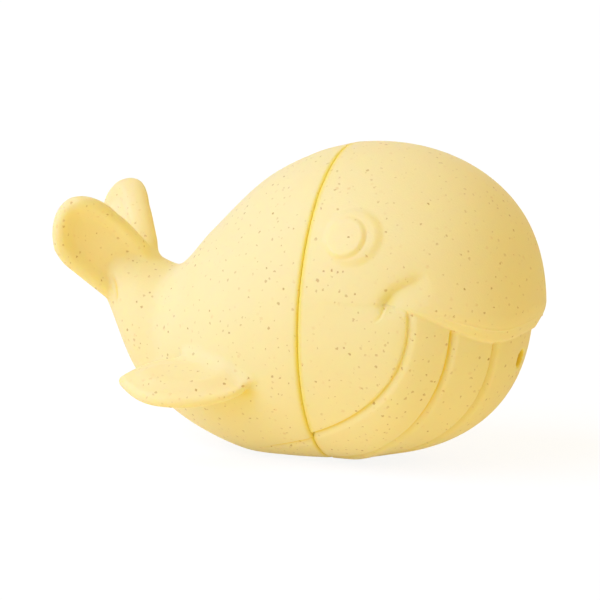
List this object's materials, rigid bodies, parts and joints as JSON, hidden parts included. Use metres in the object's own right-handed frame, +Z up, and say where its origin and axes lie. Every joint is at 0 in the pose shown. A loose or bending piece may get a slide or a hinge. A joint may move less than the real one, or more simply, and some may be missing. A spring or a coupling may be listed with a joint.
{
  "type": "whale bath toy",
  "caption": "Round soft whale bath toy in two push-together halves, with moulded fins and tail flukes and a reed squeaker behind the mouth hole.",
  "frame": {"origin": "middle of the small flat of the belly that the whale stands on", "axes": "+X towards the nose, along the collar's axis; +Z up towards the back"},
  "size_m": [0.1159, 0.0798, 0.075],
  "materials": {
    "shell": "matt speckled silicone",
    "squeaker_plastic": "moulded",
    "reed_brass": "rolled"
  },
  "bodies": {
    "tail": {"tail_shell": "shell"},
    "head": {"head_shell": "shell", "squeaker_case": "squeaker_plastic", "squeaker_reed_block": "squeaker_plastic", "squeaker_end_cap": "squeaker_plastic"},
    "reed": {"squeaker_reed": "reed_brass"}
  },
  "joints": [
    {"name": "head_pull", "type": "slide", "parent": "tail", "child": "head", "axis": [1, 0, 0], "range_m": [0, 0.04]},
    {"name": "reed_flex", "type": "hinge", "parent": "head", "child": "reed", "pos_m": [0.04406, 0, 0.03004], "axis": [0, -1, 0], "range_deg": [-1.2, 4], "stiffness_Nm_per_rad": 0.0005}
  ]
}
